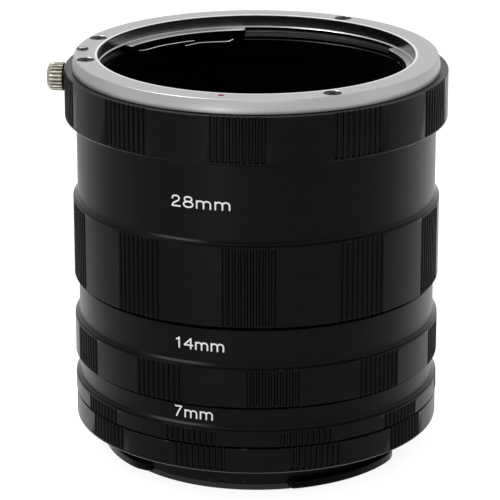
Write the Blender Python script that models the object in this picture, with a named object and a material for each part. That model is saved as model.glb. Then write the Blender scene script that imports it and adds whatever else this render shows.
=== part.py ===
# Macro extension tube set: a camera-side bayonet ring, three screwed tubes and a lens-side bayonet ring.
# The optical axis is upright, with the lens side up. The origin is under the middle of the whole set, at the
# foot of the lower bayonet.

import math

import bmesh
import bpy
from mathutils import Matrix, Vector

mm = 0.001

# Driving dimensions in millimetres and degrees.
facets = 44
seatGap = 0.2
threadPlay = 0.2
edgeBreak = 0.15

# The bayonet: the throat sets the radii of the claws that enter it and of the tabs that hold them.
throatRadius = 27.0
clawPlay = 0.35
tabReach = 1.6
collarPlay = 0.2
clawRadius = throatRadius - clawPlay
tabRadius = throatRadius - tabReach
collarRadius = tabRadius - collarPlay

# A threaded joint, from the bore outwards.
boreStep = 0.2
spigotWall = 1.2
neckWall = 2.12
bandStep = 0.78
threadLength = 2.4
threadRelief = 0.4
shoulderHeight = 0.35
boreRadius = throatRadius + boreStep
threadRadius = boreRadius + spigotWall
socketRadius = threadRadius + threadPlay
socketDepth = threadLength + threadRelief
neckRadius = socketRadius + neckWall
bandRadius = neckRadius + bandStep

# The camera ring.
collarWall = 1.4
collarDepth = 5.7
collarLip = 1.35
rimSetback = 0.1
rimHeight = 4.68
clawThickness = 1.4
clawRise = 0.6
collarBore = collarRadius - collarWall
rimRadius = bandRadius - rimSetback

# The lens ring: its housing and the bayonet plate that seats on it.
headStep = 1.15
headHeight = 8.05
seatDrop = 0.15
plateSetback = 1.4
plateThickness = 2.4
throatDepth = 2.05
tabThickness = 1.5
skirtStep = 0.5
skirtWall = 0.6
skirtDepth = 2.3
headRadius = bandRadius + headStep
headSeat = headHeight - seatDrop
plateRadius = headRadius - plateSetback
plateBack = headSeat + seatGap
plateTop = plateBack + plateThickness
skirtBore = throatRadius + skirtStep
skirtRadius = skirtBore + skirtWall
skirtFoot = plateBack - skirtDepth

# The leaf springs under the tabs.
leafWidth = 1.7
leafThickness = 0.25
leafSetback = 0.25
leafDip = 0.65
springClear = 0.15
leafInner = tabRadius + leafSetback

# Each tube: its length, the height of its knurled band and the middle of its first block of grooves,
# counted from the front, positive to the right.
tubes = {
    "tube_7mm": {"length": 7.0, "band": 3.05, "knurl": 15.4},
    "tube_14mm": {"length": 14.0, "band": 6.95, "knurl": 5.0},
    "tube_28mm": {"length": 28.0, "band": 14.15, "knurl": -2.3},
}
rimKnurl = 18.3
headKnurl = -5.4
knurlBlocks = 10
groovesPerBlock = 9
groovePitch = 1.84
grooveDepth = 0.35
grooveHalfWidth = 0.26

# Spans of the claws and tabs, counted from the front, positive to the right.
clawSpans = ((12.3, 66.0), (134.0, 190.0), (257.7, 314.7))
tabSpans = ((62.0, 115.0), (184.2, 238.8), (305.0, 357.0))

screwAngles = (148.0, 249.6, 279.8, 24.8)
screwInset = 2.1
screwLength = 6.6
screwHeadRadius = 1.45
screwShank = 0.6
screwPlay = 0.1
screwSink = 0.05
screwCircle = plateRadius - screwInset
screwEnd = plateTop - screwSink - screwLength

indexAngle = -11.6
indexStep = 1.4
indexRadius = 0.55
indexDepth = 0.25
indexCircle = throatRadius + indexStep

# The lens lock: a sprung pin, the pocket it slides in and the button that draws it down.
lockAngle = 265.0
lockInset = 2.9
lockTravel = 1.0
pinRadius = 0.95
pinRise = 0.4
pinLength = 6.7
pinPlay = 0.1
pocketPlay = 0.15
pocketFloor = 0.8
knobDrop = 5.36
knobRadius = 2.5
knobGap = 0.3
knobLength = 2.85
knobRibs = 22
stemRadius = 0.65
stemPlay = 0.15
tipWall = 0.5
tipPlay = 0.1
springWire = 0.12
springPlay = 0.28
springSeat = 0.05
springTurns = 4.5
lockCircle = headRadius - lockInset
pinTop = plateTop + pinRise
pinFoot = pinTop - pinLength
pocketRadius = pinRadius + pocketPlay
knobHeight = pinTop - knobDrop
knobInner = headRadius + knobGap
knobOuter = knobInner + knobLength
stemTip = pinRadius - tipWall
springRadius = pocketRadius - springWire - springPlay

# The button reaches out on one side only, so the axis stands beside the middle of the set.
axisOffset = (knobOuter - headRadius) / 2


def metal(name, colour, roughness, metallic):
    material = bpy.data.materials.new(name)
    material.use_nodes = True
    shader = material.node_tree.nodes["Principled BSDF"]
    shader.inputs["Base Color"].default_value = (*colour, 1.0)
    shader.inputs["Roughness"].default_value = roughness
    shader.inputs["Metallic"].default_value = metallic
    return material


def polar(radius, angle, height):
    """A point on the given radius; the angle counts from the front, positive to the right."""
    turn = math.radians(angle - 90.0)
    return Vector((radius * math.cos(turn), radius * math.sin(turn), height))


def turned(profile, steps=facets):
    """Turn a closed loop of (radius, height) points round the Z axis."""
    shape = bmesh.new()
    points = [shape.verts.new((radius * mm, 0.0, height * mm)) for radius, height in profile]
    edges = [shape.edges.new((points[i - 1], points[i])) for i in range(len(points))]
    bmesh.ops.spin(
        shape,
        geom=points + edges,
        axis=(0.0, 0.0, 1.0),
        cent=(0.0, 0.0, 0.0),
        angle=math.tau,
        steps=steps,
        use_merge=True,
    )
    bmesh.ops.remove_doubles(shape, verts=shape.verts, dist=1e-7)
    bmesh.ops.recalc_face_normals(shape, faces=shape.faces)
    return shape


def turnedSolid(profile, steps):
    """Turn an open profile that starts and ends on the axis, with flat ends."""
    shape = bmesh.new()
    rings = []
    for radius, height in profile:
        ring = []
        for i in range(steps):
            turn = math.tau * i / steps
            place = (radius * mm * math.cos(turn), radius * mm * math.sin(turn), height * mm)
            ring.append(shape.verts.new(place))
        rings.append(ring)
    bridge(shape, rings)
    return shape


def bridge(shape, rings):
    """Join stacked rings of equal length with quads and close both ends."""
    for lower, upper in zip(rings, rings[1:]):
        for i in range(len(lower)):
            shape.faces.new((lower[i - 1], lower[i], upper[i], upper[i - 1]))
    shape.faces.new(rings[0])
    shape.faces.new(rings[-1])
    bmesh.ops.recalc_face_normals(shape, faces=shape.faces)


def stacked(shape, outlines):
    """Add the solid that passes through stacked outlines of points in millimetres."""
    rings = [[shape.verts.new(point * mm) for point in outline] for outline in outlines]
    bridge(shape, rings)


def place(name, shape, material, parent=None, location=(0.0, 0.0, 0.0), rotation=(0.0, 0.0, 0.0)):
    mesh = bpy.data.meshes.new(name)
    shape.to_mesh(mesh)
    shape.free()
    mesh.materials.append(material)
    mesh.shade_smooth()
    mesh.set_sharp_from_angle(angle=math.radians(30.0))
    thing = bpy.data.objects.new(name, mesh)
    bpy.context.scene.collection.objects.link(thing)
    thing.parent = parent
    thing.location = [value * mm for value in location]
    thing.rotation_euler = rotation
    return thing


def combine(target, operation, name, shape, material):
    """Add to or cut from the target with a hidden helper that rides on it."""
    helper = place(name, shape, material, target)
    helper.hide_render = True
    helper.display_type = "WIRE"
    modifier = target.modifiers.new(name, "BOOLEAN")
    modifier.operation = operation
    modifier.solver = "EXACT"
    modifier.object = helper


def grooves(radius, bottom, top, firstBlock):
    """The V grooves of a knurled ring: blocks of fine grooves with plain lands between them."""
    shape = bmesh.new()
    reach = 0.1
    flare = grooveHalfWidth * (grooveDepth + reach) / grooveDepth
    halfAngle = math.degrees(flare / radius)
    for block in range(knurlBlocks):
        middle = firstBlock + block * 360.0 / knurlBlocks
        for groove in range(groovesPerBlock):
            angle = middle + (groove - (groovesPerBlock - 1) / 2) * groovePitch
            outlines = []
            for height in (bottom, top):
                outlines.append(
                    [
                        polar(radius - grooveDepth, angle, height),
                        polar(radius + reach, angle + halfAngle, height),
                        polar(radius + reach, angle - halfAngle, height),
                    ]
                )
            stacked(shape, outlines)
    return shape


def lug(root, tip, span, height, nose, cornerSteps=3):
    """Outline of a claw or tab from its root radius to its tip radius, with rounded corners."""
    start, end = span
    turnIn = math.degrees(nose / tip)
    wall = tip + math.copysign(nose, root - tip)
    outline = [polar(root, start, height)]
    for i in range(cornerSteps + 1):
        swing = math.pi / 2 * i / cornerSteps
        radius = wall + (tip - wall) * math.sin(swing)
        outline.append(polar(radius, start + turnIn * (1.0 - math.cos(swing)), height))
    inside = end - start - 2 * turnIn
    count = max(2, round(inside / 7.5))
    for i in range(1, count):
        outline.append(polar(tip, start + turnIn + inside * i / count, height))
    for i in range(cornerSteps, -1, -1):
        swing = math.pi / 2 * i / cornerSteps
        radius = wall + (tip - wall) * math.sin(swing)
        outline.append(polar(radius, end - turnIn * (1.0 - math.cos(swing)), height))
    for i in range(count + 1):
        outline.append(polar(root, end + (start - end) * i / (count + 1), height))
    return outline


def spigot(shoulder):
    """The threaded spigot above a ring's top shoulder, from its outer foot to the bore."""
    top = shoulder + threadLength
    return [
        (threadRadius, shoulder),
        (threadRadius, top - edgeBreak),
        (threadRadius - edgeBreak, top),
        (boreRadius, top),
    ]


def cameraRing(material):
    top = collarDepth + rimHeight - seatGap
    profile = [
        (collarBore, 0.0),
        (collarRadius - 0.2, 0.0),
        (collarRadius - 0.2, collarLip),
        (collarRadius, collarLip + edgeBreak),
        (collarRadius, collarDepth),
        (rimRadius - edgeBreak, collarDepth),
        (rimRadius, collarDepth + edgeBreak),
        (rimRadius, top),
        *spigot(top),
        (boreRadius, collarDepth + 1.2),
        (collarBore, collarDepth - 0.6),
    ]
    ring = place("camera_ring", turned(profile), material, None, (axisOffset, 0.0, 0.0))
    claws = bmesh.new()
    for span in clawSpans:
        levels = (clawRise, clawRise + clawThickness)
        stacked(claws, [lug(collarRadius - 0.7, clawRadius, span, level, 0.9) for level in levels])
    combine(ring, "UNION", "camera_claws", claws, material)
    knurl = grooves(rimRadius, collarDepth + 0.35, top + 0.2, rimKnurl)
    combine(ring, "DIFFERENCE", "camera_ring_grooves", knurl, material)
    return ring


def tube(name, parent, rise, material):
    size = tubes[name]
    top = size["length"] - seatGap
    band = size["band"]
    profile = [
        (socketRadius, 0.0),
        (bandRadius, 0.0),
        (bandRadius, band),
        (neckRadius, band + shoulderHeight),
        (neckRadius, top),
        *spigot(top),
        (boreRadius, socketDepth),
        (socketRadius, socketDepth),
    ]
    ring = place(name, turned(profile), material, parent, (0.0, 0.0, rise))
    knurl = grooves(bandRadius, -0.2, band - 0.1, size["knurl"])
    combine(ring, "DIFFERENCE", name + "_grooves", knurl, material)
    return ring


def column(shape, angle, circle, radius, bottom, top, steps=16):
    """Add an upright round pillar that stands on a circle about the axis."""
    centre = polar(circle, angle, 0.0)
    outlines = []
    for height in (bottom, top):
        outline = []
        for i in range(steps):
            turn = math.tau * i / steps
            step = Vector((radius * math.cos(turn), radius * math.sin(turn), height))
            outline.append(centre + step)
        outlines.append(outline)
    stacked(shape, outlines)


def lensHousing(parent, rise, material):
    profile = [
        (socketRadius, 0.0),
        (headRadius - edgeBreak, 0.0),
        (headRadius, edgeBreak),
        (headRadius, headHeight),
        (plateRadius + 0.25, headSeat),
        (skirtRadius + seatGap, headSeat),
        (skirtRadius + seatGap, skirtFoot - seatGap),
        (boreRadius, skirtFoot - seatGap),
        (boreRadius, socketDepth),
        (socketRadius, socketDepth),
    ]
    ring = place("lens_ring_housing", turned(profile), material, parent, (0.0, 0.0, rise))
    knurl = grooves(headRadius, 0.35, headHeight + 0.2, headKnurl)
    combine(ring, "DIFFERENCE", "housing_grooves", knurl, material)
    holes = bmesh.new()
    for angle in screwAngles:
        column(holes, angle, screwCircle, screwShank + screwPlay, screwEnd - 0.5, headSeat + 1.0, 12)
    column(holes, lockAngle, lockCircle, pocketRadius, pocketFloor, headSeat + 1.0)
    combine(ring, "DIFFERENCE", "housing_holes", holes, material)
    slot = bmesh.new()
    halfWidth = stemRadius + stemPlay
    upper = knobHeight + tipPlay
    lower = knobHeight - lockTravel - tipPlay
    outlines = []
    for reach in (lockCircle, headRadius + 0.5):
        outline = []
        for i in range(12):
            turn = math.tau * (i + 0.5) / 12
            level = upper if math.sin(turn) > 0 else lower
            side = halfWidth * math.cos(turn)
            centre = polar(reach, lockAngle, level + halfWidth * math.sin(turn))
            outline.append(centre + polar(side, lockAngle + 90.0, 0.0))
        outlines.append(outline)
    stacked(slot, outlines)
    combine(ring, "DIFFERENCE", "housing_slot", slot, material)
    return ring


def bayonetPlate(parent, material):
    wallFoot = plateTop - throatDepth
    profile = [
        (throatRadius, plateTop - 0.2),
        (throatRadius + 0.2, plateTop),
        (plateRadius - 0.45, plateTop),
        (plateRadius - 0.15, plateTop - 0.3),
        (plateRadius, plateBack + 0.9),
        (plateRadius - 0.05, plateBack),
        (skirtRadius, plateBack),
        (skirtRadius, skirtFoot),
        (skirtBore, skirtFoot),
        (skirtBore, wallFoot - 0.8),
        (throatRadius - 0.2, wallFoot - 0.5),
        (throatRadius - 0.2, wallFoot - 0.1),
        (throatRadius, wallFoot + 0.1),
    ]
    plate = place("bayonet_plate", turned(profile), material, parent)
    tabs = bmesh.new()
    for span in tabSpans:
        foot = wallFoot - tabThickness
        outlines = [
            lug(skirtBore + 0.3, tabRadius, span, foot, 1.6),
            lug(skirtBore + 0.3, tabRadius, span, wallFoot - 0.4, 1.6),
            lug(skirtBore + 0.3, tabRadius + 0.4, span, wallFoot, 1.6),
        ]
        stacked(tabs, outlines)
    combine(plate, "UNION", "plate_tabs", tabs, material)
    holes = bmesh.new()
    for angle in screwAngles:
        centre = polar(screwCircle, angle, 0.0)
        neck = screwShank + screwPlay
        mouth = screwHeadRadius + screwPlay + 0.15
        levels = ((neck, plateBack - 1.0), (neck, plateTop - (mouth - 0.1 - neck)), (mouth, plateTop + 0.1))
        outlines = []
        for radius, height in levels:
            outline = []
            for i in range(12):
                turn = math.tau * i / 12
                step = Vector((radius * math.cos(turn), radius * math.sin(turn), height))
                outline.append(centre + step)
            outlines.append(outline)
        stacked(holes, outlines)
    column(holes, lockAngle, lockCircle, pinRadius + pinPlay, plateBack - 1.0, plateTop + 1.0)
    column(holes, indexAngle, indexCircle, indexRadius, plateTop - indexDepth, plateTop + 1.0, 12)
    combine(plate, "DIFFERENCE", "plate_holes", holes, material)
    return plate


def plateScrews(parent, material):
    top = plateTop - screwSink
    neckHeight = top - (screwHeadRadius - screwShank)
    profile = [
        (screwShank - 0.15, screwEnd),
        (screwShank, screwEnd + 0.15),
        (screwShank, neckHeight),
        (screwHeadRadius, top),
    ]
    for number, angle in enumerate(screwAngles, 1):
        spot = polar(screwCircle, angle, 0.0)
        place(f"plate_screw_{number}", turnedSolid(profile, 16), material, parent, spot)


def bayonetSprings(parent, material):
    """Bowed leaf springs under the tabs: flat against the tab at one end, dipped at the free end."""
    flat = plateTop - throatDepth - tabThickness - springClear
    for number, span in enumerate(tabSpans, 1):
        shape = bmesh.new()
        start = span[0] + 5.0
        sweep = span[1] - span[0] - 10.0
        steps = 18
        rings = []
        for i in range(steps + 1):
            along = 1.0 - i / steps
            dip = leafDip * min(1.0, max(0.0, (along - 0.45) / 0.2))
            lift = 0.25 * max(0.0, (along - 0.65) / 0.35)
            level = flat - dip + lift
            angle = start + sweep * i / steps
            inner, outer = leafInner, leafInner + leafWidth
            foot = level - leafThickness
            corners = ((inner, foot), (outer, foot), (outer, level), (inner, level))
            rings.append([shape.verts.new(polar(radius, angle, height) * mm) for radius, height in corners])
        bridge(shape, rings)
        place(f"bayonet_spring_{number}", shape, material, parent)


def lockPin(parent, material):
    profile = [
        (pinRadius - 0.1, pinFoot),
        (pinRadius, pinFoot + 0.1),
        (pinRadius, pinTop - 0.2),
        (pinRadius - 0.2, pinTop),
    ]
    spot = polar(lockCircle, lockAngle, 0.0)
    pin = place("lock_pin", turnedSolid(profile, 20), material, parent, spot)
    socket = bmesh.new()
    tip = stemTip + tipPlay
    outlines = []
    for reach in (-0.1, pinRadius + 0.5):
        outline = []
        for i in range(10):
            turn = math.tau * i / 10
            centre = polar(reach, lockAngle, knobHeight + tip * math.sin(turn))
            outline.append(centre + polar(tip * math.cos(turn), lockAngle + 90.0, 0.0))
        outlines.append(outline)
    stacked(socket, outlines)
    combine(pin, "DIFFERENCE", "pin_socket", socket, material)
    return pin


def releaseKnob(pin, material):
    """Fluted button whose stem reaches through the ring's slot into the lock pin."""
    inner = knobInner - lockCircle
    outer = knobOuter - lockCircle
    flute = 0.2
    profile = [
        (stemTip, 0.05, 0.0),
        (stemTip, pinRadius + 0.15, 0.0),
        (stemRadius, pinRadius + 0.15, 0.0),
        (stemRadius, inner - 0.15, 0.0),
        (1.7, inner - 0.15, 0.0),
        (1.7, inner, 0.0),
        (knobRadius - 0.1, inner, flute),
        (knobRadius, inner + 0.15, flute),
        (knobRadius, inner + 1.9, flute),
        (knobRadius - 0.3, inner + 2.5, 0.1),
        (knobRadius - 1.0, outer, 0.0),
    ]
    shape = bmesh.new()
    count = knobRibs * 2
    rings = []
    for radius, along, depth in profile:
        ring = []
        for i in range(count):
            turn = math.tau * i / count
            size = radius - (depth if i % 2 else 0.0)
            ring.append(shape.verts.new(Vector((size * math.cos(turn), size * math.sin(turn), along)) * mm))
        rings.append(ring)
    bridge(shape, rings)
    outward = polar(1.0, lockAngle, 0.0)
    turn = outward.to_track_quat("Z", "Y").to_matrix().to_4x4()
    lift = Matrix.Translation((0.0, 0.0, knobHeight * mm))
    shape.transform(lift @ turn)
    place("release_knob", shape, material, pin)


def lockSpring(parent, material):
    """Coil spring that stands on the pocket's floor and pushes the pin up."""
    bottom = pocketFloor + springWire + springSeat
    top = pinFoot - springWire - springSeat
    curve = bpy.data.curves.new("lock_spring", "CURVE")
    curve.dimensions = "3D"
    curve.bevel_depth = springWire * mm
    curve.bevel_resolution = 0
    curve.resolution_u = 1
    curve.use_fill_caps = True
    line = curve.splines.new("POLY")
    steps = round(springTurns * 9)
    line.points.add(steps)
    for i in range(steps + 1):
        turn = math.tau * springTurns * i / steps
        across = springRadius * mm * math.cos(turn)
        along = springRadius * mm * math.sin(turn)
        height = (bottom + (top - bottom) * i / steps) * mm
        line.points[i].co = (across, along, height, 1.0)
    curve.materials.append(material)
    spring = bpy.data.objects.new("lock_spring", curve)
    bpy.context.scene.collection.objects.link(spring)
    spring.parent = parent
    spring.location = polar(lockCircle, lockAngle, 0.0) * mm


def build():
    for thing in list(bpy.data.objects):
        bpy.data.objects.remove(thing, do_unlink=True)
    anodised = metal("black_anodised", (0.012, 0.012, 0.013), 0.38, 0.9)
    plated = metal("satin_chrome", (0.62, 0.62, 0.61), 0.32, 1.0)
    darkSteel = metal("black_oxide_steel", (0.05, 0.05, 0.05), 0.4, 1.0)
    springSteel = metal("spring_steel", (0.55, 0.53, 0.5), 0.25, 1.0)
    nickel = metal("nickel_plated_brass", (0.66, 0.61, 0.54), 0.28, 1.0)

    ring = cameraRing(anodised)
    rise = collarDepth + rimHeight
    below = ring
    for name, size in tubes.items():
        below = tube(name, below, rise, anodised)
        rise = size["length"]
    housing = lensHousing(below, rise, anodised)
    bayonetPlate(housing, plated)
    plateScrews(housing, darkSteel)
    bayonetSprings(housing, springSteel)
    pin = lockPin(housing, nickel)
    releaseKnob(pin, nickel)
    lockSpring(housing, springSteel)


build()
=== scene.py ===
import math

import bmesh
import bpy
from mathutils import Matrix, Vector


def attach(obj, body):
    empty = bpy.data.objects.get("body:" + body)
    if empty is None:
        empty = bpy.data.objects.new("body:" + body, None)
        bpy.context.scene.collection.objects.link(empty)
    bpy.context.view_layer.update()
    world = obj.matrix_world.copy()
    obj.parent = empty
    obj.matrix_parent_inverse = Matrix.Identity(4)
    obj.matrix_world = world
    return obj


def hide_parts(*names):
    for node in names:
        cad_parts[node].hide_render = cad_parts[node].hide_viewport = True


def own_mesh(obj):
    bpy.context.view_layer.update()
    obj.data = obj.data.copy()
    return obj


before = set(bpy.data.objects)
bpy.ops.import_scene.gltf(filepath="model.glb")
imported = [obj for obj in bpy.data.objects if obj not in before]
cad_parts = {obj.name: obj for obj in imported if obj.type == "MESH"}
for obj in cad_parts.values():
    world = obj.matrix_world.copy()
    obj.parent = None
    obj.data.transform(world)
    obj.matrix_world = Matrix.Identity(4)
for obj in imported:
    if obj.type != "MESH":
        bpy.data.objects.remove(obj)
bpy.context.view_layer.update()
print("frame loaded:", len(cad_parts), "CAD nodes")

mm = 0.001
axisX = 1.575  # the optical axis stands this many mm to the right of the frame's origin


# Shader groups that the finishes share

def plug(tree, value, socket):
    # Writes a number into the socket, or links another node's output to it.
    if isinstance(value, (int, float)):
        socket.default_value = value
    else:
        tree.links.new(value, socket)


def maths(tree, operation, *values, clamp=False):
    node = tree.nodes.new("ShaderNodeMath")
    node.operation = operation
    node.use_clamp = clamp
    for value, socket in zip(values, node.inputs):
        plug(tree, value, socket)
    return node.outputs[0]


def noise(tree, vector, scale, detail=2.0, roughness=0.5, dimensions="3D"):
    node = tree.nodes.new("ShaderNodeTexNoise")
    node.noise_dimensions = dimensions
    node.inputs["Detail"].default_value = detail
    node.inputs["Roughness"].default_value = roughness
    tree.links.new(vector, node.inputs["W" if dimensions == "1D" else "Vector"])
    plug(tree, scale, node.inputs["Scale"])
    return node.outputs[0]


def turnedLines(tree, given):
    # The fine marks of a lathe tool: rings on a face, hoops on a side. Place is in metres about the axis.
    split = tree.nodes.new("ShaderNodeSeparateXYZ")
    tree.links.new(given["Place"], split.inputs[0])
    x, y, z = split.outputs
    reach = maths(tree, "ADD", maths(tree, "MULTIPLY", x, x), maths(tree, "MULTIPLY", y, y))
    along = maths(tree, "MULTIPLY", maths(tree, "ADD", maths(tree, "SQRT", reach), z), 1000.0)
    travel = maths(tree, "DIVIDE", along, given["Pitch mm"])
    fine = noise(tree, travel, 1.0, 2.0, 0.6, "1D")
    slow = noise(tree, maths(tree, "MULTIPLY", travel, 0.11), 1.0, 1.0, 0.5, "1D")
    patch = maths(tree, "SUBTRACT", noise(tree, given["Place"], 260.0), 0.5)
    gate = maths(tree, "MULTIPLY_ADD", patch, given["Break Up"], 1.0)
    shade = maths(tree, "MULTIPLY_ADD", slow, 0.6, maths(tree, "MULTIPLY", fine, 0.4))
    return maths(tree, "MULTIPLY", fine, gate), shade


def blastedGrain(tree, given):
    # The even grain that bead blasting leaves under the anodised layer.
    scale = maths(tree, "DIVIDE", 1000.0, given["Grain mm"])
    grain = noise(tree, given["Place"], scale, 2.0, 0.55)
    cloud = noise(tree, given["Place"], maths(tree, "MULTIPLY", scale, 0.03), 3.0, 0.6)
    return grain, maths(tree, "MULTIPLY_ADD", cloud, 0.7, maths(tree, "MULTIPLY", grain, 0.3))


def wornEdges(tree, given):
    # Where handling has rubbed the finish: Wear is 1 on a convex edge and 0 on open faces.
    patch = noise(tree, given["Place"], maths(tree, "DIVIDE", 1000.0, given["Patch mm"]), 4.0, 0.65)
    share = maths(tree, "POWER", given["Wear"], 1.6)
    worn = maths(tree, "MULTIPLY", share, maths(tree, "ADD", patch, 0.25))
    edge = maths(tree, "SUBTRACT", worn, maths(tree, "SUBTRACT", 1.0, given["Amount"]))
    return (maths(tree, "MULTIPLY", edge, 3.0, clamp=True),)


def fineDust(tree, given):
    # A few pale specks on faces that look up.
    split = tree.nodes.new("ShaderNodeSeparateXYZ")
    tree.links.new(given["Normal"], split.inputs[0])
    upward = maths(tree, "MULTIPLY_ADD", split.outputs[2], 0.6, 0.4, clamp=True)
    speck = maths(tree, "SUBTRACT", noise(tree, given["Place"], 2600.0, 2.0, 0.7), 0.66)
    dots = maths(tree, "MULTIPLY", speck, 9.0, clamp=True)
    drifts = maths(tree, "MULTIPLY", dots, noise(tree, given["Place"], 90.0))
    return (maths(tree, "MULTIPLY", drifts, maths(tree, "MULTIPLY", upward, given["Amount"])),)


def settledDirt(tree, given):
    # Settled grime together with painted shade: the input is 1 at the foot of a groove and where a part
    # lies in shade, and 0 on open faces.
    patch = noise(tree, given["Place"], maths(tree, "DIVIDE", 1000.0, given["Patch mm"]), 3.0, 0.6)
    depth = maths(tree, "MULTIPLY", given["Dirt"], maths(tree, "ADD", patch, 0.55))
    return (maths(tree, "MULTIPLY", depth, given["Amount"], clamp=True),)


def shaderGroup(build, inputs, outputs):
    # A group with named sockets: an input without a number is a vector, and each output is a value.
    group = bpy.data.node_groups.new(build.__name__, "ShaderNodeTree")
    for label, value in inputs.items():
        kind = "NodeSocketVector" if value is None else "NodeSocketFloat"
        socket = group.interface.new_socket(label, in_out="INPUT", socket_type=kind)
        if value is not None:
            socket.default_value = value
    for label in outputs:
        group.interface.new_socket(label, in_out="OUTPUT", socket_type="NodeSocketFloat")
    enter = group.nodes.new("NodeGroupInput")
    leave = group.nodes.new("NodeGroupOutput")
    for label, value in zip(outputs, build(group, enter.outputs)):
        group.links.new(value, leave.inputs[label])
    return group


groupParts = (
    (turnedLines, {"Place": None, "Pitch mm": 0.15, "Break Up": 0.3}, ("Height", "Shade")),
    (blastedGrain, {"Place": None, "Grain mm": 0.12}, ("Height", "Spread")),
    (wornEdges, {"Wear": 0.0, "Place": None, "Patch mm": 1.5, "Amount": 0.4}, ("Mask",)),
    (fineDust, {"Place": None, "Normal": None, "Amount": 0.2}, ("Mask",)),
    (settledDirt, {"Dirt": 0.0, "Place": None, "Patch mm": 0.8, "Amount": 0.0}, ("Mask",)),
)
groups = {build.__name__: shaderGroup(build, inputs, outputs) for build, inputs, outputs in groupParts}
print("shader groups ready:", ", ".join(groups))


# Finishes

def freshMaterial(name, look, metallic):
    material = bpy.data.materials.new(name)
    material.use_nodes = True
    tree = material.node_tree
    shader = tree.nodes["Principled BSDF"]
    shader.inputs["Base Color"].default_value = (*look["colour"], 1.0)
    shader.inputs["Roughness"].default_value = look["roughness"]
    shader.inputs["Metallic"].default_value = metallic
    return material, tree, shader


def placed(tree, name, place, **links):
    # Sets a shared group into a material and gives its outputs.
    node = tree.nodes.new("ShaderNodeGroup")
    node.node_tree = groups[name]
    for label, value in {"Place": place, **links}.items():
        plug(tree, value, node.inputs[label.replace("_", " ")])
    return node.outputs


def attribute(tree, name):
    node = tree.nodes.new("ShaderNodeAttribute")
    node.attribute_name = name
    return node.outputs["Fac"]


def blendColour(tree, mask, first, second):
    node = tree.nodes.new("ShaderNodeMix")
    node.data_type = "RGBA"
    tree.links.new(mask, node.inputs[0])
    for socket, value in ((node.inputs[6], first), (node.inputs[7], second)):
        if isinstance(value, tuple):
            socket.default_value = (*value, 1.0)
        else:
            tree.links.new(value, socket)
    return node.outputs[2]


def bumped(tree, shader, height, strength, distance=0.00002):
    bump = tree.nodes.new("ShaderNodeBump")
    bump.inputs["Strength"].default_value = strength
    bump.inputs["Distance"].default_value = distance
    tree.links.new(height, bump.inputs["Height"])
    tree.links.new(bump.outputs["Normal"], shader.inputs["Normal"])


roughening = {"dirtAndShade": 0.3, "dust": 0.4}
paintRelief = 0.3


def metalFinish(name, look):
    # A turned or blasted metal finish with rubbed edges, fine lines, grain, a little dust, and settled
    # grime with painted shade where a piece marks it.
    material, tree, shader = freshMaterial(name, look, 1.0)
    where = tree.nodes.new("ShaderNodeTexCoord")
    place, patch, rough = where.outputs["Object"], look["patch"], look["roughness"]
    wear, dirtAndShade = attribute(tree, "wear"), attribute(tree, "dirtAndShade")
    lines = placed(tree, "turnedLines", place, Pitch_mm=look["pitch"], Break_Up=look["breakUp"])
    grain = placed(tree, "blastedGrain", place, Grain_mm=look["grain"])
    rubbed = placed(tree, "wornEdges", place, Wear=wear, Patch_mm=patch, Amount=look["wear"])["Mask"]
    dirtAndShadeMask = placed(tree, "settledDirt", place, Dirt=dirtAndShade, Patch_mm=patch, Amount=look["dirtAndShade"])["Mask"]
    dusty = placed(tree, "fineDust", place, Normal=where.outputs["Normal"], Amount=look["dust"])["Mask"]
    low = tuple(c * (1.0 - look["vary"]) for c in look["colour"])
    high = tuple(min(1.0, c * (1.0 + look["vary"])) for c in look["colour"])
    tone = blendColour(tree, lines["Shade"], low, high)
    tone = blendColour(tree, rubbed, tone, look["wornColour"])
    tone = blendColour(tree, dirtAndShadeMask, tone, look["dirtAndShadeColour"])
    tone = blendColour(tree, dusty, tone, look["dustColour"])
    tree.links.new(tone, shader.inputs["Base Color"])
    soft = maths(tree, "MULTIPLY_ADD", maths(tree, "SUBTRACT", grain["Spread"], 0.5), look["spread"], rough)
    soft = maths(tree, "MULTIPLY_ADD", rubbed, look["wornRoughness"] - rough, soft)
    soft = maths(tree, "MULTIPLY_ADD", dirtAndShadeMask, roughening["dirtAndShade"], soft)
    soft = maths(tree, "MULTIPLY_ADD", dusty, roughening["dust"], soft, clamp=True)
    tree.links.new(soft, shader.inputs["Roughness"])
    pits = maths(tree, "MULTIPLY", grain["Height"], look["grainDepth"])
    relief = maths(tree, "MULTIPLY_ADD", lines["Height"], look["lineDepth"], pits)
    bumped(tree, shader, relief, look["relief"])
    return material


def paintFinish(name, look):
    # Enamel or ink laid into the metal: an even colour with a slightly uneven surface.
    material, tree, shader = freshMaterial(name, look, 0.0)
    shader.inputs["Specular IOR Level"].default_value = look["sheen"]
    place = tree.nodes.new("ShaderNodeTexCoord").outputs["Object"]
    mottle = noise(tree, place, 1000.0 / look["mottle"], 3.0, 0.6)
    low = tuple(c * (1.0 - look["vary"]) for c in look["colour"])
    tree.links.new(blendColour(tree, mottle, low, look["colour"]), shader.inputs["Base Color"])
    soft = maths(tree, "MULTIPLY_ADD", mottle, 0.2, look["roughness"] - 0.1)
    tree.links.new(soft, shader.inputs["Roughness"])
    bumped(tree, shader, mottle, paintRelief)
    return material


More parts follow.
